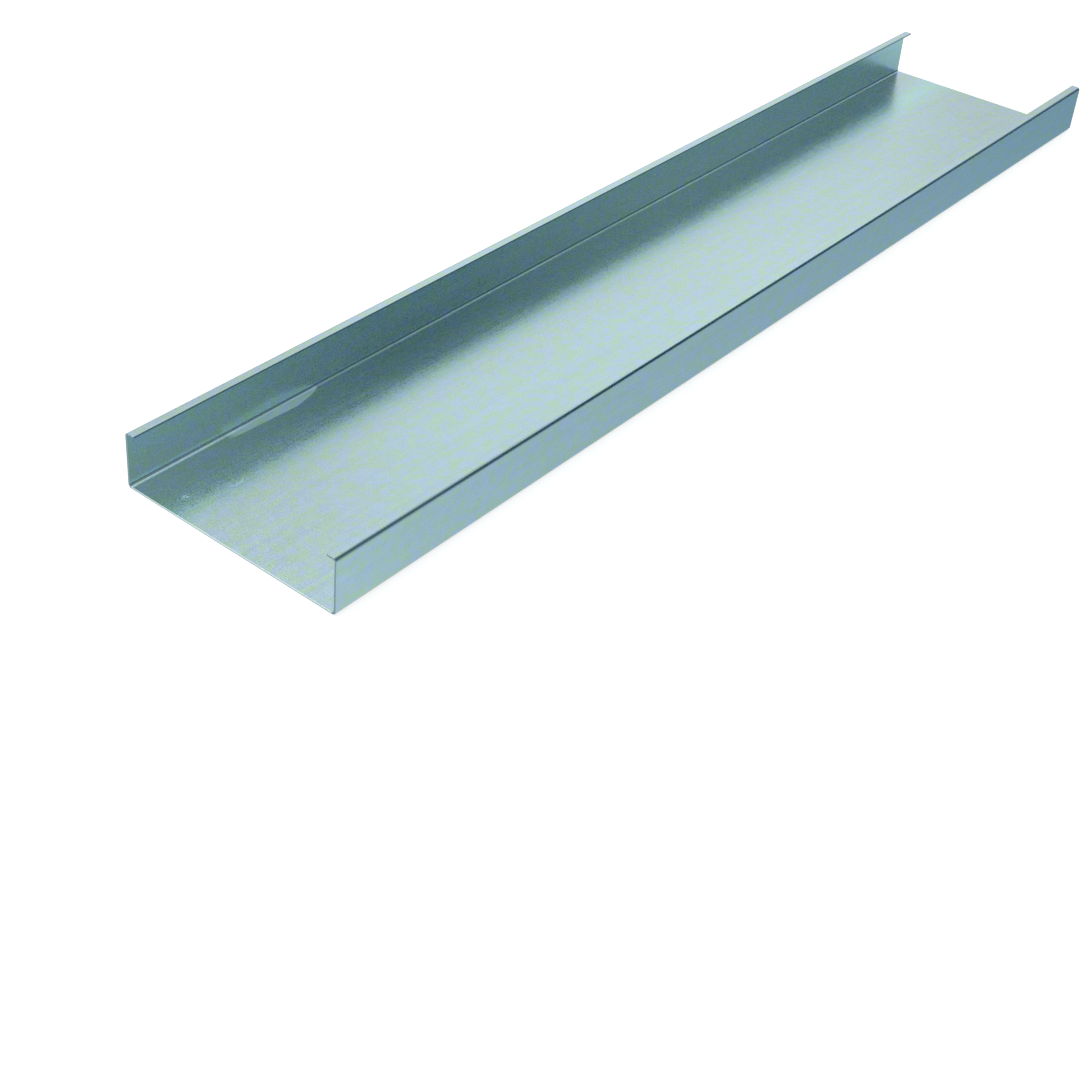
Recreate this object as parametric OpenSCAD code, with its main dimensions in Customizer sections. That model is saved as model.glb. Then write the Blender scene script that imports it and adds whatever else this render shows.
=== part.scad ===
// Open floor trunking: one strip of galvanised steel sheet, folded lengthwise four times.
// The strip makes a wide flat floor, two upright walls and, along the top of each wall,
// a narrow level lip that turns inwards. Both ends are cut square and left open.
//
// Frame: X across the trough, Y along it, Z up. The origin is the middle of the underside.

/* [Trough] */

// Width over the outer faces of the walls
trough_w = 195; // [100:5:400]

// Height from the underside of the floor to the top of the lips
trough_h = 43; // [20:1:100]

// Length from one cut end to the other
trough_l = 1000; // [200:10:2000]

/* [Sheet] */

// Thickness of the sheet
sheet_t = 1.5; // [0.8:0.05:2]

// Inside radius of every fold
fold_r = 1.5; // [0.8:0.05:3]

/* [Lips] */

// Width of a lip, from the outer face of its wall to its free edge
lip_w = 8.5; // [6:0.5:20]

// Radius that takes the sharpness off the two corners of a lip's free edge
lip_edge_r = 0.2; // [0.05:0.05:0.35]

/* [Hidden] */

// Steps round a full circle, for folds and edges alike
$fn = 64;

// Outside radius of a fold: the sheet keeps its thickness all the way round
fold_outer_r = fold_r + sheet_t;

// From the middle of the trough to the outer face of a wall
half_w = trough_w / 2;

// Flat widths that are left between the folds
half_floor_flat = half_w - fold_outer_r;
wall_flat = trough_h - 2 * fold_outer_r;
lip_flat = lip_w - fold_outer_r;

sheet_colour = [0.64, 0.69, 0.70];

// One fold in section: a quarter of a ring about the origin, between +X and +Y
module fold_section() {
    intersection() {
        difference() {
            circle(r = fold_outer_r);
            circle(r = fold_r);
        }
        square(fold_outer_r);
    }
}

// The flat of a lip in section. It starts at the fold, at x = 0, and runs towards -X,
// with the sheet below y = 0. Its free edge is rounded at both corners.
module lip_section() {
    translate([lip_edge_r - lip_flat, -sheet_t])
        square([lip_flat - lip_edge_r, sheet_t]);
    translate([-lip_flat, lip_edge_r - sheet_t])
        square([lip_edge_r, sheet_t - 2 * lip_edge_r]);
    for (y = [-lip_edge_r, lip_edge_r - sheet_t])
        translate([lip_edge_r - lip_flat, y])
            circle(r = lip_edge_r);
}

// Right half of the folded sheet in section, followed from the middle of the floor
// out to the wall, up to the top, and in to the free edge of the lip
module half_section() {
    square([half_floor_flat, sheet_t]);

    translate([half_floor_flat, fold_outer_r])
        rotate(-90)
            fold_section();

    translate([half_w - sheet_t, fold_outer_r])
        square([sheet_t, wall_flat]);

    translate([half_floor_flat, trough_h - fold_outer_r])
        fold_section();

    translate([half_floor_flat, trough_h])
        lip_section();
}

// The whole folded sheet in section, in the plane across the trough
module trough_section() {
    half_section();
    mirror([1, 0])
        half_section();
}

// The trough: its section carried along the full length, half of it each way from the origin
module trough() {
    color(sheet_colour)
        rotate([90, 0, 0])
            linear_extrude(height = trough_l, center = true)
                trough_section();
}

trough();
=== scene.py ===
# %% [markdown]
# This lesson dresses an open floor trunking: one strip of galvanised steel sheet, folded lengthwise
# into a wide floor, two low walls and two narrow lips. The metal is bare zinc, so its look comes
# from three things only: the true shape of the folded sheet, the fine pattern of the zinc coat, and
# what the metal has around it to mirror. The lesson takes them in that order.
#
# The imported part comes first. It is the fixed frame, in metres, that the rest is built on.

# %% Load the frame
import math
import bpy
import numpy as np
from mathutils import Euler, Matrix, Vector


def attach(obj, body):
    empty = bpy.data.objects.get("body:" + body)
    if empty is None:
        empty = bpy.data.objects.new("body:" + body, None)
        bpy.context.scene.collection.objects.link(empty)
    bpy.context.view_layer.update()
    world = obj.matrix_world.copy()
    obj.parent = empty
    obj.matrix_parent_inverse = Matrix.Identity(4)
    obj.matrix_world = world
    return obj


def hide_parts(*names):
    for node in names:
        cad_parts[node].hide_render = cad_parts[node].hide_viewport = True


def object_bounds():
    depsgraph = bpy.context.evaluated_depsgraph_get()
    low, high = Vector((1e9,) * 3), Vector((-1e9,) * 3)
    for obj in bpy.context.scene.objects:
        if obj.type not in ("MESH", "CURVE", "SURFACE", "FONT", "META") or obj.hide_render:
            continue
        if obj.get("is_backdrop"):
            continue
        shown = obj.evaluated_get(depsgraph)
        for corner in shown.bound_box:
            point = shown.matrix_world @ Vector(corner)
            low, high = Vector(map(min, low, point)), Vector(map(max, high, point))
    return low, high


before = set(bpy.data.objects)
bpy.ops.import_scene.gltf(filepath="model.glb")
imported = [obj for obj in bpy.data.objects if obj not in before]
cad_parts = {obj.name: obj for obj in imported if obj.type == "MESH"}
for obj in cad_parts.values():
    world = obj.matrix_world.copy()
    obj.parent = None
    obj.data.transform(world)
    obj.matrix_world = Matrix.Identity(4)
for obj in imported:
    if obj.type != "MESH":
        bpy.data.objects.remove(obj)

MM = 0.001
TROUGH = "trough"
cad_low, cad_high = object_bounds()
WIDTH, LENGTH, HEIGHT = (float(side) for side in cad_high - cad_low)
print(f"trough: {WIDTH:.4f} wide, {LENGTH:.4f} long, {HEIGHT:.4f} high")

# %% [markdown]
# A folded sheet is settled by very few sizes: its thickness, the radius of its folds and the width
# of its lips. They could be typed in again here, but then a change of the part would leave the
# scene behind. The corners of the solid already hold them, so they are read from its vertices.

# %% Read the sheet's own sizes from the solid
def read_sheet_sizes(node):
    """Thickness, outside fold radius and lip width. The underside ends where its fold starts, and the
    floor's upper face ends straight above that place. The lip ends at the innermost point near the top."""
    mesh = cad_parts[node].data
    points = np.zeros(len(mesh.vertices) * 3)
    mesh.vertices.foreach_get("co", points)
    x, _, z = points.reshape(-1, 3).T
    hair = 0.01 * MM
    underside_half = x[z < hair].max()
    above_its_end = (np.abs(x - underside_half) < hair) & (z > hair)
    thickness = z[above_its_end].min()
    in_the_lips = z > HEIGHT - thickness + hair
    return thickness, WIDTH / 2 - underside_half, WIDTH / 2 - np.abs(x[in_the_lips]).min()


SHEET, FOLD_OUTER, LIP = (float(size) for size in read_sheet_sizes(TROUGH))
FOLD_INNER = FOLD_OUTER - SHEET
print(f"sheet {SHEET / MM:.2f} mm, fold radius {FOLD_INNER / MM:.2f} mm inside, lip {LIP / MM:.2f} mm")

# %% [markdown]
# The section of a folded sheet is a line that runs straight on every flat and turns at an even
# rate in every fold. Blender could bevel a plain box into this shape, but then the grid would be
# whatever the bevel left. Following the line by a formula gives a point and a direction for any
# distance along it, and the same distance later places the zinc's pattern as if the sheet still
# lay flat. The line is the middle of the sheet's thickness, from the left lip's free edge to the
# right lip's free edge, with the floor, walls and lips as its five flats.

# %% The folded line as a formula
FOLD_MIDDLE = FOLD_INNER + SHEET / 2
QUARTER_TURN = math.pi / 2
FOLD_RUN = FOLD_MIDDLE * QUARTER_TURN
LIP_FLAT = LIP - FOLD_OUTER
WALL_FLAT = HEIGHT - 2 * FOLD_OUTER
FLOOR_FLAT = WIDTH - 2 * FOLD_OUTER
HALF_RUNS = [LIP_FLAT, FOLD_RUN, WALL_FLAT, FOLD_RUN]
RUNS = np.array(HALF_RUNS + [FLOOR_FLAT] + HALF_RUNS[::-1])
IS_FOLD = np.arange(len(RUNS)) % 2 == 1
STARTS = np.concatenate([[0], np.cumsum(RUNS)])
STRIP_WIDTH = float(STARTS[-1])


def folded_line(across):
    """Point (x, z) and heading of the sheet's middle line at each distance `across` from its left edge.
    On a flat the heading stays and the point moves straight along it. In a fold of radius r the
    heading grows by distance / r, and the point moves round a circle: x by r times the change of the
    heading's sine, and z by r times the change of its cosine, with the sign turned."""
    turned = np.concatenate([[0], np.cumsum(IS_FOLD)]) * QUARTER_TURN + math.pi
    x_step = np.where(IS_FOLD, FOLD_MIDDLE * np.diff(np.sin(turned)), RUNS * np.cos(turned[:-1]))
    z_step = np.where(IS_FOLD, -FOLD_MIDDLE * np.diff(np.cos(turned)), RUNS * np.sin(turned[:-1]))
    x_start = LIP - WIDTH / 2 + np.concatenate([[0], np.cumsum(x_step)])
    z_start = HEIGHT - SHEET / 2 + np.concatenate([[0], np.cumsum(z_step)])

    run = np.clip(np.searchsorted(STARTS, across, side="right") - 1, 0, len(RUNS) - 1)
    gone = across - STARTS[run]
    first = turned[run]
    heading = first + np.where(IS_FOLD[run], gone / FOLD_MIDDLE, 0)
    x_gone = np.where(IS_FOLD[run], FOLD_MIDDLE * (np.sin(heading) - np.sin(first)), gone * np.cos(first))
    z_gone = np.where(IS_FOLD[run], FOLD_MIDDLE * (np.cos(first) - np.cos(heading)), gone * np.sin(first))
    return x_start[run] + x_gone, z_start[run] + z_gone, heading


edge_x, edge_z, _ = folded_line(np.array([0.0, STRIP_WIDTH]))
print(f"flat strip {STRIP_WIDTH / MM:.1f} mm wide, free edges at x {edge_x / MM}, z {edge_z / MM} mm")

# %% [markdown]
# A grid needs rows and columns only where the shape changes. Folds get many narrow steps so that
# their highlights run round smoothly. The flats get steps of a few millimetres, which is enough for
# the slight unevenness of real sheet. Next to each fold and each cut edge comes one extra line very
# close to it: smooth shading blends over the faces beside a bend, and the extra line keeps that
# blend from spreading over a flat.

# %% Stations across the strip and along it
EDGE_ROUND = 0.2 * MM
EDGE_STEPS = 4
FOLD_STEPS = 14
GUARD = 0.15 * MM
FLAT_STEP = 4.5 * MM
LENGTH_STEP = 6.5 * MM


def edge_distances():
    """Distances from a cut at which its rounding has a line: EDGE_ROUND times (1 - cos a), with a
    spread evenly from nothing to a right angle, and one guard line past the end of the rounding."""
    angle = np.linspace(0, QUARTER_TURN, EDGE_STEPS + 1)
    return np.append(EDGE_ROUND * (1 - np.cos(angle)), EDGE_ROUND + GUARD)


def flat_stations(start, length, at_start, at_end):
    """Even stations on a flat, between the close lines that guard its two ends."""
    low, high = start + at_start[-1], start + length - at_end[-1]
    steps = max(2, round((high - low) / FLAT_STEP))
    middle = np.linspace(low, high, steps + 1)[1:-1]
    return np.concatenate([start + at_start, middle, start + length - at_end[::-1]])


def stations_across():
    """All stations of the strip: each flat's own, then even steps through each fold."""
    guard = np.array([0, GUARD])
    cut = edge_distances()
    found = []
    for run, (start, length) in enumerate(zip(STARTS, RUNS)):
        if IS_FOLD[run]:
            found.append(np.linspace(start, start + length, FOLD_STEPS + 1)[1:-1])
        else:
            is_first, is_last = run == 0, run == len(RUNS) - 1
            found.append(flat_stations(start, length, cut if is_first else guard, cut if is_last else guard))
    return np.concatenate(found)


def stations_along():
    """Stations from the near cut to the far one, with the cut's rounding at both ends."""
    cut = edge_distances()
    steps = round((LENGTH - 2 * cut[-1]) / LENGTH_STEP)
    middle = np.linspace(-LENGTH / 2 + cut[-1], LENGTH / 2 - cut[-1], steps + 1)[1:-1]
    return np.concatenate([cut - LENGTH / 2, middle, LENGTH / 2 - cut[::-1]])


ACROSS = stations_across()
ALONG = stations_along()
print(f"{len(ACROSS)} stations across, {len(ALONG)} along")

# %% [markdown]
# Real sheet is never quite true. After folding, the right wall bows outwards between the ends and
# the left one a little inwards, and the wide floor keeps a faint long wave from the coil that it was
# cut from. These are under a millimetre, and none could be seen on a painted box. Metal shows them,
# because a mirror doubles every slope. They are sums of a few slow waves, without random numbers.
# The near cut isn't quite square either: the walls' upper edges stand back by about two millimetres.

# %% How far the sheet strays from true
RIGHT_WALL_BOW = 0.8 * MM
LEFT_WALL_BOW = -0.20 * MM
NEAR_LEAN, FAR_LEAN = 2.3 * MM, 0.6 * MM
FLOOR_WAVE = 0.10 * MM
WALL_WAVE = 0.05 * MM
WAVES = (
    {"share": 0.45, "length": 0.43, "slant": 11, "start": 0.0},
    {"share": 0.35, "length": 0.171, "slant": -23, "start": 1.3},
    {"share": 0.20, "length": 0.089, "slant": 37, "start": 4.1},
)


def wall_bow(x, z, y):
    """Sideways shift of the middle line's point (x, z): nothing on the floor, growing evenly with height
    to its most at the lips, and along the trough a parabola, 1 in the middle and 0 at the ends."""
    most = np.where(x > 0, RIGHT_WALL_BOW, -LEFT_WALL_BOW)
    height_share = (z - SHEET / 2) / (HEIGHT - SHEET)
    return most * height_share * (1 - (2 * y / LENGTH) ** 2)


def lean_along(z, y):
    """Shift along the trough: nothing on the floor, growing evenly with height to its most at the lips,
    where it goes evenly from NEAR_LEAN at the near end to FAR_LEAN at the far one."""
    height_share = (z - SHEET / 2) / (HEIGHT - SHEET)
    return height_share * ((NEAR_LEAN + FAR_LEAN) / 2 - (NEAR_LEAN - FAR_LEAN) * y / LENGTH)


def slow_wave(across, y):
    """A lasting unevenness from -1 to 1: three sine waves along the trough, of unequal length, each
    turned a little across the strip by its slant and moved on by its start."""
    return sum(
        wave["share"] * np.sin(2 * math.pi * y / wave["length"] + wave["slant"] * across + wave["start"])
        for wave in WAVES
    )


def flat_bulge(across, y):
    """Bulge of the flats towards the inside of the trough. Over each flat it rises from 0 at the fold
    to its most in the middle as a half sine, because the folds hold the sheet straight."""
    run = np.clip(np.searchsorted(STARTS, across, side="right") - 1, 0, len(RUNS) - 1)
    share = np.clip((across - STARTS[run]) / RUNS[run], 0, 1)
    most = np.select([RUNS[run] == FLOOR_FLAT, RUNS[run] == WALL_FLAT], [FLOOR_WAVE, WALL_WAVE], 0)
    return most * np.sin(math.pi * share) * (1 + slow_wave(across, y)) / 2


print(f"walls bow by {RIGHT_WALL_BOW / MM} and {LEFT_WALL_BOW / MM} mm, cut leans by {NEAR_LEAN / MM} mm")

# %% [markdown]
# The sheet has two skins, one half a thickness to each side of the middle line, and four narrow
# rims that close them: two free edges and two cut ends. A cut through sheet is never knife sharp,
# so close to a cut the skins draw in along a small quarter circle. Solidify could give the
# thickness, but its rims would be one plain face. Here the thickness is part of the formula.

# %% The two skins and four rims of the sheet
def half_thickness(across, y):
    """Half the sheet's thickness, less what the rounding takes near a cut: at distance d from the cut
    that is r - sqrt(r^2 - (r - d)^2), which is r at the cut itself and 0 from d = r on."""
    def taken(distance):
        left = np.clip(EDGE_ROUND - distance, 0, EDGE_ROUND)
        return EDGE_ROUND - np.sqrt(EDGE_ROUND ** 2 - left ** 2)
    from_side = np.minimum(across, STRIP_WIDTH - across)
    from_end = LENGTH / 2 - np.abs(y)
    return SHEET / 2 - np.maximum(taken(from_side), taken(from_end))


def skin(across, y, side):
    """One skin of the sheet: the middle line's point, bulged, bowed, and moved half a thickness along
    the line's normal, which is the heading turned a quarter to the left and points into the trough."""
    x, z, heading = folded_line(across)
    away = flat_bulge(across, y) + side * half_thickness(across, y)
    bowed_x = x + wall_bow(x, z, y)
    leaning_y = y + lean_along(z, y)
    return np.stack([bowed_x - away * np.sin(heading), leaning_y, z + away * np.cos(heading)], axis=-1)


def grid_faces(numbers):
    """Four corners for each cell of a grid of vertex numbers, in turning order."""
    corners = (numbers[:-1, :-1], numbers[1:, :-1], numbers[1:, 1:], numbers[:-1, 1:])
    return np.stack(corners, axis=-1).reshape(-1, 4)


def sheet_mesh(name):
    """Mesh of the whole sheet from the two skins, with the rims as strips between their borders."""
    across, y = np.meshgrid(ACROSS, ALONG, indexing="ij")
    points = np.stack([skin(across, y, 1), skin(across, y, -1)])
    inner, outer = np.arange(points[..., 0].size).reshape(points.shape[:3])
    faces = np.concatenate([
        grid_faces(inner),
        grid_faces(outer[::-1]),
        grid_faces(np.stack([inner[:, 0], outer[:, 0]], axis=1)[::-1]),
        grid_faces(np.stack([inner[:, -1], outer[:, -1]], axis=1)),
        grid_faces(np.stack([inner[0], outer[0]], axis=1)),
        grid_faces(np.stack([inner[-1], outer[-1]], axis=1)[::-1]),
    ])
    mesh = bpy.data.meshes.new(name)
    mesh.from_pydata(points.reshape(-1, 3), [], faces.tolist())
    mesh.shade_smooth()
    return mesh


sheet = bpy.data.objects.new("folded_sheet", sheet_mesh("folded_sheet"))
bpy.context.scene.collection.objects.link(sheet)
print(f"folded sheet: {len(sheet.data.vertices)} vertices, {2 * len(sheet.data.polygons)} triangles")

# %% [markdown]
# The zinc's pattern was made while the strip was flat, and it was folded with the strip. So the
# material is told for every point where it lay on the flat strip: how far across, how far along,
# and on which skin. A pattern that reads this runs unbroken round every fold. Four more values mark
# places with a colour of their own: the bright upper half of the floor's cut ends, the dull cuts of
# all the rest, and painted shade in the folds: a dark line over the outsides, most of all at the near
# end, and painted shade on the insides towards the wall.

# %% Attributes that the material reads
PLACE = "flat_place"
# The last two names carry painted shade in the folds.
CUT_AND_SHADE_NAMES = ("floor_cut", "wall_cut", "outer_fold", "inner_fold")
FLOOR_CUT, WALL_CUT, OUTER_FOLD, INNER_FOLD = CUT_AND_SHADE_NAMES
LEFT_FLOOR_FOLD, FLOOR_RUN, RIGHT_FLOOR_FOLD = 3, 4, 5
# Where the inner fold's painted shade starts on the way to the wall, and how long it takes to grow whole.
INNER_SHADE_START, INNER_SHADE_RISE = 0.10, 0.30
# Share of the outer fold's painted shade left at the far end.
OUTER_SHADE_FAR = 0.68


def cut_and_shade_values(across, y, side):
    """The four values by name, each from 0 to 1: the two cuts, then the painted shade of the outer and
    the inner folds. On a cut face the first two are 1, and they fall evenly to 0 where the rounding
    beside it ends. The outer fold's painted shade is the square of a half sine over each fold, times a
    share that goes evenly from 1 at the near end to the far end's share. The inner fold's painted shade
    starts at a set share of the way to the wall and is whole after a set rise more."""
    run = np.clip(np.searchsorted(STARTS, across, side="right") - 1, 0, len(RUNS) - 1)
    share = np.clip((across - STARTS[run]) / RUNS[run], 0, 1)
    from_side = np.minimum(across, STRIP_WIDTH - across)
    cut = np.clip(1 - np.minimum(from_side, LENGTH / 2 - np.abs(y)) / EDGE_ROUND, 0, 1)
    over_fold = np.where(IS_FOLD[run], np.sin(math.pi * share), 0)
    outer_shade_along = 1 - (1 - OUTER_SHADE_FAR) * (y / LENGTH + 0.5)
    wallwards = np.select([run == LEFT_FLOOR_FOLD, run == RIGHT_FLOOR_FOLD], [1 - share, share], 0)
    # Painted shade in the inner fold, growing towards the wall.
    inner_shade = np.clip((wallwards - INNER_SHADE_START) / INNER_SHADE_RISE, 0, 1)
    return {
        FLOOR_CUT: cut * ((run == FLOOR_RUN) & (side > 0)),
        WALL_CUT: cut * ((run != FLOOR_RUN) | (side < 0)),
        OUTER_FOLD: over_fold ** 2 * outer_shade_along * (side < 0),
        INNER_FOLD: inner_shade * (side > 0),
    }


def write_attributes(mesh):
    """Stores the place and the wear values for every vertex, in the order in which the skins were made."""
    across, y = np.meshgrid(ACROSS, ALONG, indexing="ij")
    place = np.stack([np.stack([across, y, np.full_like(across, side)], axis=-1) for side in (1, -1)])
    mesh.attributes.new(PLACE, "FLOAT_VECTOR", "POINT").data.foreach_set("vector", place.ravel())
    skins = [cut_and_shade_values(across, y, side) for side in (1, -1)]
    for name in CUT_AND_SHADE_NAMES:
        values = np.stack([one_skin[name] for one_skin in skins])
        mesh.attributes.new(name, "FLOAT", "POINT").data.foreach_set("value", values.ravel())


write_attributes(sheet.data)
print("attributes:", [a.name for a in sheet.data.attributes if not a.name.startswith(".")])

# %% [markdown]
# Shader nodes are easier to read as sums than as wires. These helpers each add one node and give
# back its output, so that a pattern can be written from the inside out.

# %% Helpers that add one node each
def fill(tree, socket, value):
    """Links a socket, or sets the value on it."""
    if isinstance(value, bpy.types.NodeSocket):
        tree.links.new(value, socket)
    else:
        socket.default_value = value


def put(tree, kind, **inputs):
    """A node of that kind with its named inputs filled; an underscore stands for a space."""
    node = tree.nodes.new(kind)
    for name, value in inputs.items():
        fill(tree, node.inputs[name.replace("_", " ")], value)
    return node


def calc(tree, operation, *values):
    """A Math node."""
    node = tree.nodes.new("ShaderNodeMath")
    node.operation = operation
    for socket, value in zip(node.inputs, values):
        fill(tree, socket, value)
    return node.outputs[0]


def rescale_evenly(tree, value, low, high, to_low=0.0, to_high=1.0, kind="LINEAR"):
    """Carries low..high evenly to to_low..to_high and holds it there outside."""
    node = put(tree, "ShaderNodeMapRange", Value=value, From_Min=low, From_Max=high)
    node.interpolation_type = kind
    fill(tree, node.inputs["To Min"], to_low)
    fill(tree, node.inputs["To Max"], to_high)
    return node.outputs["Result"]


def rescale(tree, value, low, high, to_low=0.0, to_high=1.0):
    """Like rescale_evenly, but it starts and ends gently."""
    return rescale_evenly(tree, value, low, high, to_low, to_high, kind="SMOOTHSTEP")


def blend_colour(tree, share, first, second):
    """A colour that goes from first to second as share goes from 0 to 1."""
    node = tree.nodes.new("ShaderNodeMix")
    node.data_type = "RGBA"
    sockets = {socket.identifier: socket for socket in node.inputs}
    fill(tree, sockets["Factor_Float"], share)
    fill(tree, sockets["A_Color"], first)
    fill(tree, sockets["B_Color"], second)
    return next(s for s in node.outputs if s.identifier == "Result_Color")


def attribute(tree, name, output="Fac"):
    """A value or vector that the mesh carries."""
    node = tree.nodes.new("ShaderNodeAttribute")
    node.attribute_name = name
    return node.outputs[output]


def product(tree, first, second):
    """Two vectors or colours multiplied part by part."""
    node = tree.nodes.new("ShaderNodeVectorMath")
    node.operation = "MULTIPLY"
    fill(tree, node.inputs[0], first)
    fill(tree, node.inputs[1], second)
    return node.outputs[0]


def patches(tree, place, across, along, detail=2.0):
    """Soft noise from 0 to 1 whose patches measure about `across` by `along` metres on the flat strip.
    The third step keeps the patterns of the two skins apart."""
    skins_apart = 7.3
    scaled = product(tree, place, (1 / across, 1 / along, skins_apart))
    return put(tree, "ShaderNodeTexNoise", Vector=scaled, Scale=1.0, Detail=detail).outputs["Fac"]


# %% [markdown]
# Galvanised sheet isn't one even grey. Zinc freezes in flat crystals, the spangle, a few millimetres
# across. The coat between them has a fine grain, and thin oxide tints it a little green here and a
# little blue there. The rolls that press the coat smooth leave hair lines along the strip. Under
# them lie slow clouds, where the coat cooled unevenly. None of these is strong: the eye reads them
# together as "zinc". An image would show the same few centimetres again and again, so every layer is
# worked out from the flat place.

# %% The layers of the zinc coat
GRAIN = (0.7 * MM, 1.0 * MM)
MOTTLE = (5.8 * MM, 8.5 * MM)
SPANGLE = 6.0 * MM
CLOUD = (30 * MM, 80 * MM)
ROLL_LINE = (0.55 * MM, 70 * MM)
ROLL_BAND = (7 * MM, 380 * MM)
HAIR = (0.40 * MM, 150 * MM)
HAIR_SHOWS = (0.60, 0.72)
SPANGLE_BEND = 0.35
SPANGLE_FINER = 3


def spangle(tree, place):
    """A value from 0 to 1 that is constant on each crystal: the cells of a Voronoi pattern, whose
    straight borders a little noise bends."""
    bend = SPANGLE_BEND * SPANGLE
    wander = put(tree, "ShaderNodeTexNoise", Vector=place, Scale=SPANGLE_FINER / SPANGLE, Detail=1.0)
    moved = tree.nodes.new("ShaderNodeVectorMath")
    moved.operation = "MULTIPLY_ADD"
    fill(tree, moved.inputs[0], wander.outputs["Color"])
    fill(tree, moved.inputs[1], (bend, bend, 0))
    fill(tree, moved.inputs[2], place)
    cells = put(tree, "ShaderNodeTexVoronoi", Vector=moved.outputs[0], Scale=1 / SPANGLE)
    return put(tree, "ShaderNodeSeparateColor", Color=cells.outputs["Color"]).outputs["Red"]


def zinc_layers(tree, place):
    """The layers by name, each from 0 to 1. All but the hair scratches have their middle near one half."""
    return {
        "grain": patches(tree, place, *GRAIN, detail=1.0),
        "mottle": patches(tree, place, *MOTTLE),
        "crystal": spangle(tree, place),
        "cloud": patches(tree, place, *CLOUD),
        "line": patches(tree, place, *ROLL_LINE, detail=3.0),
        "band": patches(tree, place, *ROLL_BAND),
        "hair": rescale(tree, patches(tree, place, *HAIR, detail=1.0), *HAIR_SHOWS),
    }


print("zinc layers from", GRAIN[0] / MM, "to", ROLL_BAND[1] / MM, "mm")

# %% [markdown]
# The coat also has marks that belong to this one piece, and painted highlights drawn in the same
# way. A painted highlight runs along the floor's end of the left fold over its whole length. From the
# near end a stronger painted highlight lies beside it, and further in this widens into a pale strip
# in the shape of a blade, also a painted highlight. There is a small smudge on the floor by the end,
# and a faint curved scratch, both real marks. They are all drawn in the plane of the flat strip as
# distances: a mark is where a distance is under a limit. That keeps their borders sharp at any size,
# which a value stored on the grid could not.

# %% Marks of use and painted highlights on the floor
FLOOR_START = float(STARTS[4])
# The blade, the fold line and the edge line are painted highlights; the smudge and the arc are real marks.
BLADE_START, BLADE_WIDEST, BLADE_TIP = 81 * MM, 143 * MM, 171 * MM
BLADE_NARROW, BLADE_WIDTH = 6.0 * MM, 9.0 * MM
BLADE_ONSET, BLADE_ROUNDING = 9 * MM, 27 * MM
BLADE_STREAKS = {"low": 0.35, "high": 0.65, "to_low": 0.72, "to_high": 1.12}
FOLD_WIDTH, EDGE_WIDTH = 1.1 * MM, 2.2 * MM
FOLD_HIGHLIGHT_START, FOLD_HIGHLIGHT_WHOLE = 0.6 * FOLD_INNER, 0.1 * FOLD_INNER
EDGE_FADE = (65 * MM, 112 * MM)
HIGHLIGHT_BORDER = 0.6 * MM
SMUDGE_X, SMUDGE_Y, SMUDGE_SIZE = -60 * MM, -483 * MM, 4.0 * MM
SMUDGE_GRAIN = (0.40, 0.60)
ARC_X, ARC_Y, ARC_RADIUS, ARC_HALF = -57 * MM, -449 * MM, 11 * MM, 9 * MM
ARC_LINE = 0.7 * MM
RUB_AND_HIGHLIGHT_STRENGTHS = {"fold": 0.60, "edge": 1.15, "blade": 0.80, "smudge": 0.80, "arc": 0.30}


def on_floor(x):
    """Distance across the flat strip at which the floor's place x lies."""
    return FLOOR_START + x + WIDTH / 2 - FOLD_OUTER


def beside_fold(tree, across, width):
    """1 from near the left fold's end to `width` past it on the floor, with soft borders."""
    inside = calc(tree, "SUBTRACT", calc(tree, "ADD", width, FLOOR_START), across)
    past_fold = rescale(tree, across, FLOOR_START - FOLD_HIGHLIGHT_START, FLOOR_START - FOLD_HIGHLIGHT_WHOLE)
    return calc(tree, "MULTIPLY", rescale(tree, inside, 0, HIGHLIGHT_BORDER), past_fold)


def blade(tree, across, from_end):
    """The wide part of the pale strip, a painted highlight. It fades in over a short way at its narrow
    width, grows evenly to the full one, and closes at the tip like an ellipse, as the square root of the
    way that is left."""
    grown = rescale_evenly(tree, from_end, BLADE_START, BLADE_WIDEST, BLADE_NARROW, BLADE_WIDTH)
    left = rescale_evenly(tree, from_end, BLADE_TIP - BLADE_ROUNDING, BLADE_TIP, 1.0, 0.0)
    width = calc(tree, "MULTIPLY", grown, calc(tree, "SQRT", left))
    started = rescale(tree, from_end, BLADE_START, BLADE_START + BLADE_ONSET)
    return calc(tree, "MULTIPLY", beside_fold(tree, across, width), started)


def distance_from(tree, across, along, x, y):
    """Distance on the flat strip from the floor's place (x, y)."""
    dx = calc(tree, "SUBTRACT", across, on_floor(x))
    dy = calc(tree, "SUBTRACT", along, y)
    squares = calc(tree, "ADD", calc(tree, "MULTIPLY", dx, dx), calc(tree, "MULTIPLY", dy, dy))
    return calc(tree, "SQRT", squares)


def arc_scratch(tree, across, along):
    """The part of a ring's line that lies near one place on the ring."""
    from_middle = distance_from(tree, across, along, ARC_X, ARC_Y)
    off_ring = calc(tree, "ABSOLUTE", calc(tree, "SUBTRACT", from_middle, ARC_RADIUS))
    along_ring = distance_from(tree, across, along, ARC_X + ARC_RADIUS, ARC_Y)
    near_place = rescale(tree, along_ring, ARC_HALF / 2, ARC_HALF, 1, 0)
    return calc(tree, "MULTIPLY", rescale(tree, off_ring, 0, ARC_LINE, 1, 0), near_place)


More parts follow.
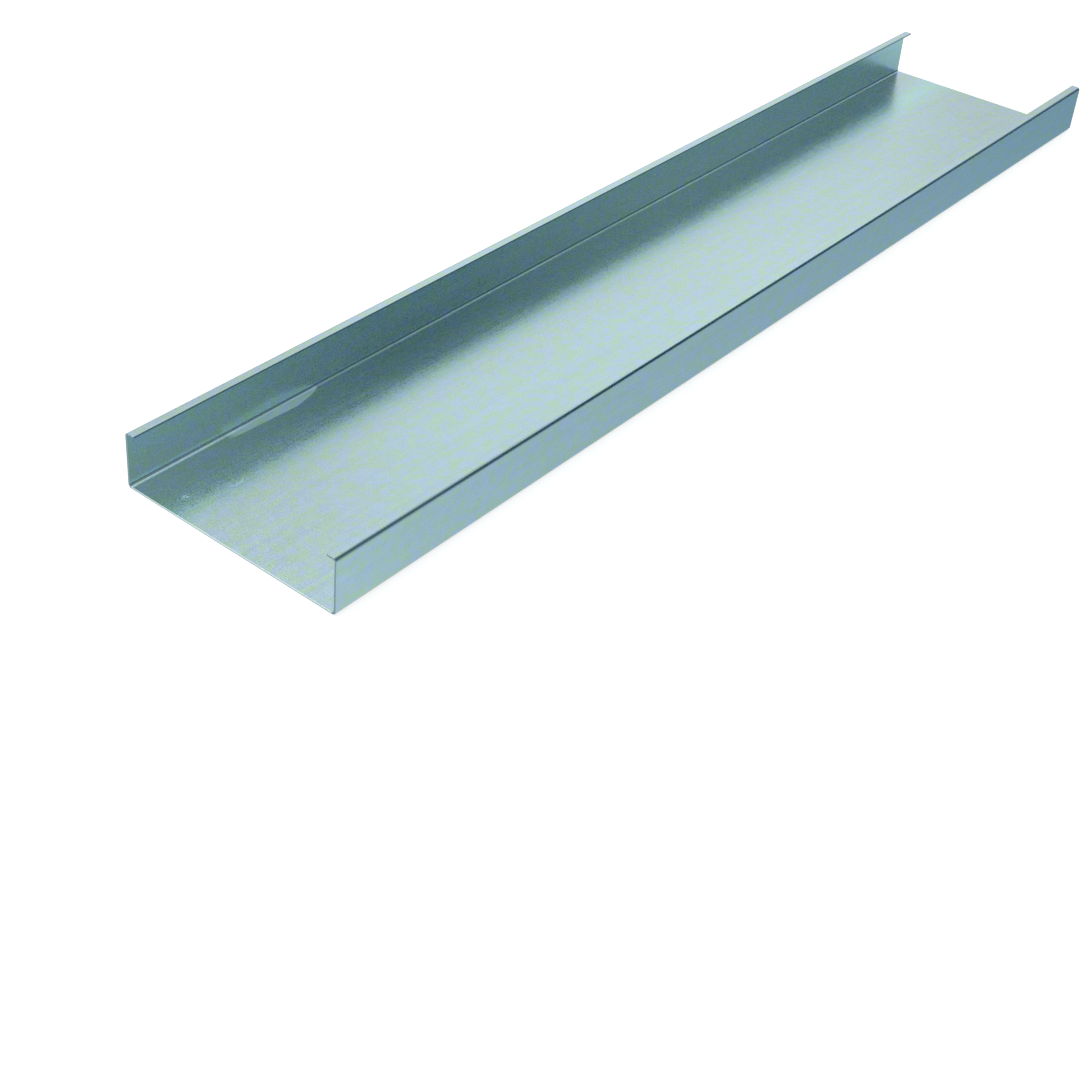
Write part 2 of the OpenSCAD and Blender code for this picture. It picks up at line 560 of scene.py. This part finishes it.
def marks(tree, place, layers):
    """How much the coat is worn or painted with a highlight, only on the inner skin: the sum of all marks,
    each times its strength. The painted edge highlight gives way to the painted blade highlight, whose
    roll lines show through as paler and darker streaks."""
    parts = put(tree, "ShaderNodeSeparateXYZ", Vector=place)
    across, along, side = (parts.outputs[axis] for axis in "XYZ")
    from_end = calc(tree, "ADD", along, LENGTH / 2)
    before_blade = rescale(tree, from_end, *EDGE_FADE, 1, 0)
    streaks = rescale(tree, layers["line"], **BLADE_STREAKS)
    spot = rescale(tree, distance_from(tree, across, along, SMUDGE_X, SMUDGE_Y), 0, SMUDGE_SIZE, 1, 0)
    shares = {
        "fold": beside_fold(tree, across, FOLD_WIDTH),
        "edge": calc(tree, "MULTIPLY", beside_fold(tree, across, EDGE_WIDTH), before_blade),
        "blade": calc(tree, "MULTIPLY", blade(tree, across, from_end), streaks),
        "smudge": calc(tree, "MULTIPLY", spot, rescale(tree, layers["grain"], *SMUDGE_GRAIN)),
        "arc": arc_scratch(tree, across, along),
    }
    rubbed_and_highlit = 0.0
    for name, share in shares.items():
        rubbed_and_highlit = calc(tree, "ADD", rubbed_and_highlit, calc(tree, "MULTIPLY", share, RUB_AND_HIGHLIGHT_STRENGTHS[name]))
    return calc(tree, "MULTIPLY", rubbed_and_highlit, calc(tree, "GREATER_THAN", side, 0.0))


print(f"rubbed strip {BLADE_WIDTH / MM} mm wide, {(BLADE_TIP - BLADE_START) / MM:.0f} mm long")

# %% [markdown]
# A Principled shader with full metallic needs just two things: the colour that the metal gives to
# what it mirrors, and how rough it is. Zinc is a cool grey, with a tint that wanders between blue and
# green but keeps its red, so that the brightness stays even. Roughness changes how far a reflection
# spreads. The finest layers may change it freely, and give the border of a dark reflection its
# speckle. The slow ones may not, because there even a small step shows as a blotch. The rubs and the
# painted highlights are a little chalky, so they are slightly less metallic. The floor's cut is bright
# bare steel above and dull below. In the folds painted shade darkens the colour, outside over the
# whole bend and inside towards the wall. Beside the left fold a faint teal tint is a painted reflection.

# %% The galvanised finish
ZINC_GREEN = (0.437, 0.618, 0.505, 1)
ZINC_BLUE = (0.437, 0.580, 0.720, 1)
MOTTLE_RANGE = (0.32, 0.68)
BRIGHT_CUT = (0.760, 0.830, 0.850, 1)
DULL_CUT = (0.180, 0.280, 0.320, 1)
# The dark teal that the folds' painted shade blends towards.
PAINTED_FOLD_SHADE = (0.050, 0.130, 0.170, 1)
NO_TINT = (1, 1, 1, 1)
# A painted reflection: a faint teal tint along the floor beside the left fold.
PAINTED_TEAL = (1.00, 1.13, 1.12, 1)
PAINTED_TEAL_X, PAINTED_TEAL_REACH = -52 * MM, 26 * MM
ZINC_ROUGHNESS = 0.28
SHADE_WEIGHTS = {"grain": 0.10, "crystal": 0.03, "cloud": 0.05, "line": 0.07, "band": 0.08}
ROUGHNESS_WEIGHTS = {"grain": 0.30, "crystal": 0.015, "cloud": 0.03, "line": 0.15, "band": 0.03}
HAIR_SHADE = 0.06
RUB_AND_HIGHLIGHT_SHADE = 0.55
# How far the painted shade of the outer and inner folds goes towards that dark teal.
OUTER_FOLD_SHARE = 0.97
INNER_FOLD_SHARE = 0.65
RUB_AND_HIGHLIGHT_ROUGHNESS = 0.25
RUB_AND_HIGHLIGHT_CHALK = 0.42
CUT_ROUGHNESS = 0.08
BUMP_HEIGHT = 0.02 * MM


def weighted(tree, start, layers, weights):
    """start plus, for every layer that has a weight, its distance from one half times that weight."""
    total = start
    for name, weight in weights.items():
        off_middle = calc(tree, "SUBTRACT", layers[name], 0.5)
        total = calc(tree, "ADD", total, calc(tree, "MULTIPLY", off_middle, weight))
    return total


def scaled_colour(tree, colour, share):
    """A colour times a share."""
    node = tree.nodes.new("ShaderNodeVectorMath")
    node.operation = "SCALE"
    fill(tree, node.inputs[0], colour)
    fill(tree, node.inputs["Scale"], share)
    return node.outputs[0]


def painted_teal_tint(tree, place):
    """What the painted teal reflection multiplies the colour by: the full tint on a line along the floor,
    and less and less to both sides of it until it ends."""
    across = put(tree, "ShaderNodeSeparateXYZ", Vector=place).outputs["X"]
    off_line = calc(tree, "ABSOLUTE", calc(tree, "SUBTRACT", across, on_floor(PAINTED_TEAL_X)))
    return blend_colour(tree, rescale(tree, off_line, 0, PAINTED_TEAL_REACH), PAINTED_TEAL, NO_TINT)


def galvanised():
    """The finish of the whole sheet."""
    material = bpy.data.materials.new("galvanised_sheet")
    material.use_nodes = True
    tree = material.node_tree
    shader = tree.nodes["Principled BSDF"]
    place = attribute(tree, PLACE, "Vector")
    layers = zinc_layers(tree, place)
    floor_cut, wall_cut, outer_fold, inner_fold = (attribute(tree, name) for name in CUT_AND_SHADE_NAMES)
    rubbed_and_highlit = marks(tree, place, layers)

    zinc = blend_colour(tree, rescale(tree, layers["mottle"], *MOTTLE_RANGE), ZINC_GREEN, ZINC_BLUE)
    shade = weighted(tree, 1.0, layers, SHADE_WEIGHTS)
    # The rubs and the painted highlights make the colour paler.
    for share, change in ((layers["hair"], HAIR_SHADE), (rubbed_and_highlit, RUB_AND_HIGHLIGHT_SHADE)):
        shade = calc(tree, "ADD", shade, calc(tree, "MULTIPLY", share, change))
    colour = product(tree, scaled_colour(tree, zinc, shade), painted_teal_tint(tree, place))
    # Painted shade in the folds: the colour blends towards a dark teal.
    for fold, share in ((outer_fold, OUTER_FOLD_SHARE), (inner_fold, INNER_FOLD_SHARE)):
        colour = blend_colour(tree, calc(tree, "MULTIPLY", fold, share), colour, PAINTED_FOLD_SHADE)
    for cut, metal in ((floor_cut, BRIGHT_CUT), (wall_cut, DULL_CUT)):
        colour = blend_colour(tree, cut, colour, metal)

    rough = weighted(tree, ZINC_ROUGHNESS, layers, ROUGHNESS_WEIGHTS)
    for share, change in ((rubbed_and_highlit, RUB_AND_HIGHLIGHT_ROUGHNESS), (floor_cut, CUT_ROUGHNESS), (wall_cut, CUT_ROUGHNESS)):
        rough = calc(tree, "ADD", rough, calc(tree, "MULTIPLY", share, change))

    height = calc(tree, "ADD", layers["grain"], layers["line"])
    bump = put(tree, "ShaderNodeBump", Strength=1.0, Distance=BUMP_HEIGHT, Height=height)
    fill(tree, shader.inputs["Base Color"], colour)
    fill(tree, shader.inputs["Roughness"], rough)
    chalk = calc(tree, "MULTIPLY", rubbed_and_highlit, RUB_AND_HIGHLIGHT_CHALK)
    fill(tree, shader.inputs["Metallic"], calc(tree, "SUBTRACT", 1.0, chalk))
    fill(tree, shader.inputs["Normal"], bump.outputs["Normal"])
    return material


sheet.data.materials.append(galvanised())
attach(sheet, "root")
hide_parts(TROUGH)
print("folded_sheet rides on root and stands for", TROUGH)

# %% [markdown]
# Metal shows its surroundings, so the studio is built with as much care as the sheet. The floor is
# white paint, lit and shadowed like any paint. It also gives a little light of its own to rays that
# see it directly, from the camera or from a mirror, so that it reads as a white background both
# times. Rays that carry light from it to the object get none of that, and so the shadow stays.

# %% The white floor
FLOOR_REACH = 30.0
FLOOR_DROP = 0.2 * MM
FLOOR_PAINT = 0.50
FLOOR_GLOW = 0.68
SIGHT_RAYS = ("Is Camera Ray", "Is Glossy Ray", "Is Transmission Ray")


def new_material(name):
    """An empty material and its tree."""
    material = bpy.data.materials.new(name)
    material.use_nodes = True
    material.node_tree.nodes.clear()
    return material, material.node_tree


def seen_directly(tree):
    """1 for rays that come from the camera, a mirror or a glass, and 0 for all others."""
    path = tree.nodes.new("ShaderNodeLightPath")
    camera, glossy, through = (path.outputs[name] for name in SIGHT_RAYS)
    return calc(tree, "MAXIMUM", calc(tree, "MAXIMUM", camera, glossy), through)


def floor_material():
    """Paint plus the glow that only direct sight gets."""
    material, tree = new_material("studio_floor")
    paint = put(tree, "ShaderNodeBsdfDiffuse", Color=(FLOOR_PAINT, FLOOR_PAINT, FLOOR_PAINT, 1))
    glow = put(tree, "ShaderNodeEmission", Strength=calc(tree, "MULTIPLY", seen_directly(tree), FLOOR_GLOW))
    both = tree.nodes.new("ShaderNodeAddShader")
    fill(tree, both.inputs[0], paint.outputs[0])
    fill(tree, both.inputs[1], glow.outputs[0])
    put(tree, "ShaderNodeOutputMaterial", Surface=both.outputs[0])
    return material


def flat_panel(name, corners, material):
    """One flat face through the given corners, marked as part of the studio."""
    mesh = bpy.data.meshes.new(name)
    mesh.from_pydata([Vector(c) for c in corners], [], [tuple(range(len(corners)))])
    mesh.materials.append(material)
    panel = bpy.data.objects.new(name, mesh)
    bpy.context.scene.collection.objects.link(panel)
    panel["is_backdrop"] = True
    return panel


reach = FLOOR_REACH
floor_corners = [(-reach, -reach), (reach, -reach), (reach, reach), (-reach, reach)]
flat_panel("floor", [(x, y, -FLOOR_DROP) for x, y in floor_corners], floor_material())
print(f"floor: paint {FLOOR_PAINT}, glow {FLOOR_GLOW}")

# %% [markdown]
# What makes bare sheet look like metal is one bright side and one dark side. A black card stands to
# the right. The left wall mirrors it by way of the floor, which draws the dark band along the left
# fold, and both outer bends on the right catch it as a thin dark line. The card's top is cut in
# steps, because a different stretch of the trough looks at each part of it. Two grey sheets of
# painted shade lie on the table and stand in for the table's shade as the metal mirrors it: one
# beside the right wall, darker towards the far end, and one beyond the far end, which greys the last
# stretch of the floor. Only mirror rays meet the cards, so they throw no shadow.

# %% Dark cards that only the metal sees
CARD_X = 1.0
CARD_OUTLINE = ((0.33, 0.00), (4.80, 0.00), (4.80, 1.45), (2.60, 1.32), (2.05, 0.90), (1.33, 0.80),
                (1.18, 2.20), (0.70, 2.20), (0.54, 0.60), (0.33, 0.54))
CARD_FADE = {
    "ends": (1.3, 2.5), "power": 1.0,
    "first": (0.030, 0.122, 0.200, 1), "last": (0.080, 0.180, 0.250, 1),
}
RUNNER_OUTLINE = ((0.0985, -0.62), (0.45, -0.62), (0.45, 1.30), (0.0985, 1.30))
RUNNER_FADE = {
    "ends": (-0.47, 0.55), "power": 0.6,
    "first": (0.78, 0.86, 0.89, 1), "last": (0.32, 0.46, 0.57, 1),
}
END_OUTLINE = ((-0.30, 0.503), (0.0985, 0.503), (0.0985, 1.30), (-0.30, 1.30))
END_FADE = {
    "ends": (0.50, 0.60), "power": 1.0,
    "first": (0.46, 0.62, 0.70, 1), "last": (0.66, 0.84, 0.90, 1),
}


def fading_glow(name, ends, power, first, last):
    """Light whose colour goes from first to last along y, by the card's own Object coordinates: the
    share of the way that is gone, raised to a power. A power under 1 is fast at first, then slow."""
    material, tree = new_material(name)
    where = tree.nodes.new("ShaderNodeTexCoord").outputs["Object"]
    y = put(tree, "ShaderNodeSeparateXYZ", Vector=where).outputs["Y"]
    gone = rescale_evenly(tree, y, *ends)
    colour = blend_colour(tree, calc(tree, "POWER", gone, power), first, last)
    put(tree, "ShaderNodeOutputMaterial", Surface=put(tree, "ShaderNodeEmission", Color=colour).outputs[0])
    return material


def mirror_only(panel):
    """Hides a panel from everything but mirror rays, so that it throws no light and no shadow."""
    panel.visible_camera = False
    panel.visible_diffuse = False
    panel.visible_shadow = False
    panel.visible_transmission = False


standing = [(CARD_X, y, z) for y, z in CARD_OUTLINE]
mirror_only(flat_panel("black_card", standing, fading_glow("black_card", **CARD_FADE)))
print("black_card stands at x", CARD_X, "m")
# The two lying sheets are painted shade that only mirrors see.
lying = {"painted_shade_runner": (RUNNER_OUTLINE, RUNNER_FADE), "painted_shade_end": (END_OUTLINE, END_FADE)}
for name, (outline, fade) in lying.items():
    mirror_only(flat_panel(name, [(x, y, 0) for x, y in outline], fading_glow(name, **fade)))
    print(name, "lies on the table, from y", outline[0][1], "to", outline[2][1], "m")

# %% [markdown]
# The studio's walls are an even light grey, and three softboxes hang in front of them. The largest
# is high on the left and gives the soft shadow. The second stands far to the left, exactly where the
# trough's floor looks, and lights up the middle of that long reflection while the ends stay calmer.
# The third, high behind the trough, is what the folds catch as a bright line.

# %% Studio light
STUDIO_GREY = 0.80
SOFTBOXES = {
    "high_left": {"place": (-0.9, -0.2, 2.2), "size": (1.6, 2.2), "radiance": 1.2},
    "far_left": {"place": (-1.50, 2.02, 1.55), "size": (1.5, 1.3), "radiance": 0.26},
    "behind": {"place": (0.10, 2.10, 2.00), "size": (1.3, 1.1), "radiance": 0.85},
}


def studio_world():
    """One even grey all round."""
    world = bpy.data.worlds.new("studio")
    bpy.context.scene.world = world
    world.use_nodes = True
    sky = world.node_tree.nodes["Background"]
    fill(world.node_tree, sky.inputs["Color"], (1, 1, 1, 1))
    fill(world.node_tree, sky.inputs["Strength"], STUDIO_GREY)


def softbox(name, place, size, radiance):
    """An area light that faces the origin. Cycles gives a panel a radiance of its power over four times
    its area, so the power is four times radiance times area. It adds to what shines behind it."""
    lamp = bpy.data.lights.new(name, "AREA")
    lamp.shape = "RECTANGLE"
    lamp.size, lamp.size_y = size
    lamp.energy = 4 * radiance * size[0] * size[1]
    light = bpy.data.objects.new(name, lamp)
    light.location = place
    light.rotation_euler = (-Vector(place)).to_track_quat("-Z", "Y").to_euler()
    bpy.context.scene.collection.objects.link(light)


studio_world()
for name, box in SOFTBOXES.items():
    softbox(name, **box)
    print("softbox", name, "radiance", box["radiance"])

# %% [markdown]
# The camera stands where the photographer's did. Its place, direction and lens were worked out from
# the trough's straight edges: lines that are parallel in the room meet in one point of the picture,
# and three such points settle the lens and the turn. It leans by a few degrees, so a roll comes
# first, about the line of sight, then the tilt, then the swing.

# %% Camera
CAMERA_PLACE = (0.6882, -1.0610, 0.6931)
CAMERA_HEADING = 37.827
CAMERA_DIP = 37.789
CAMERA_ROLL = 3.448
CAMERA_LENS = 57.672
SENSOR = 36.0
FAR_CLIP = 200.0


def photo_camera():
    """A camera that looks straight down, then is rolled, raised by a right angle less the dip, and swung
    round to the heading. The sensor is a full frame's, 36 mm wide."""
    data = bpy.data.cameras.new("camera")
    data.sensor_width = SENSOR
    data.lens = CAMERA_LENS
    data.clip_end = FAR_CLIP
    roll = Euler((0, 0, math.radians(CAMERA_ROLL))).to_quaternion()
    tilt = Euler((math.radians(90 - CAMERA_DIP), 0, 0)).to_quaternion()
    swing = Euler((0, 0, math.radians(CAMERA_HEADING))).to_quaternion()
    camera = bpy.data.objects.new("camera", data)
    camera.location = CAMERA_PLACE
    camera.rotation_euler = (swing @ tilt @ roll).to_euler()
    bpy.context.scene.collection.objects.link(camera)
    bpy.context.scene.camera = camera


photo_camera()
bpy.context.scene.view_settings.view_transform = "Standard"
print(f"camera: lens {CAMERA_LENS} mm, dip {CAMERA_DIP} degrees, at {CAMERA_PLACE}")

# %% [markdown]
# Last, the dressed trough is measured against the solid that it stands for. The bow of the right
# wall and the lean of the far cut let it reach past the solid's box by less than a millimetre.

# %% Compare the sizes
looks_low, looks_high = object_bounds()
sizes = {"cad": [list(cad_low), list(cad_high)], "looks": [list(looks_low), list(looks_high)]}
for kind, (low, high) in sizes.items():
    print(kind, "from", [round(v / MM, 2) for v in low], "to", [round(v / MM, 2) for v in high], "mm")
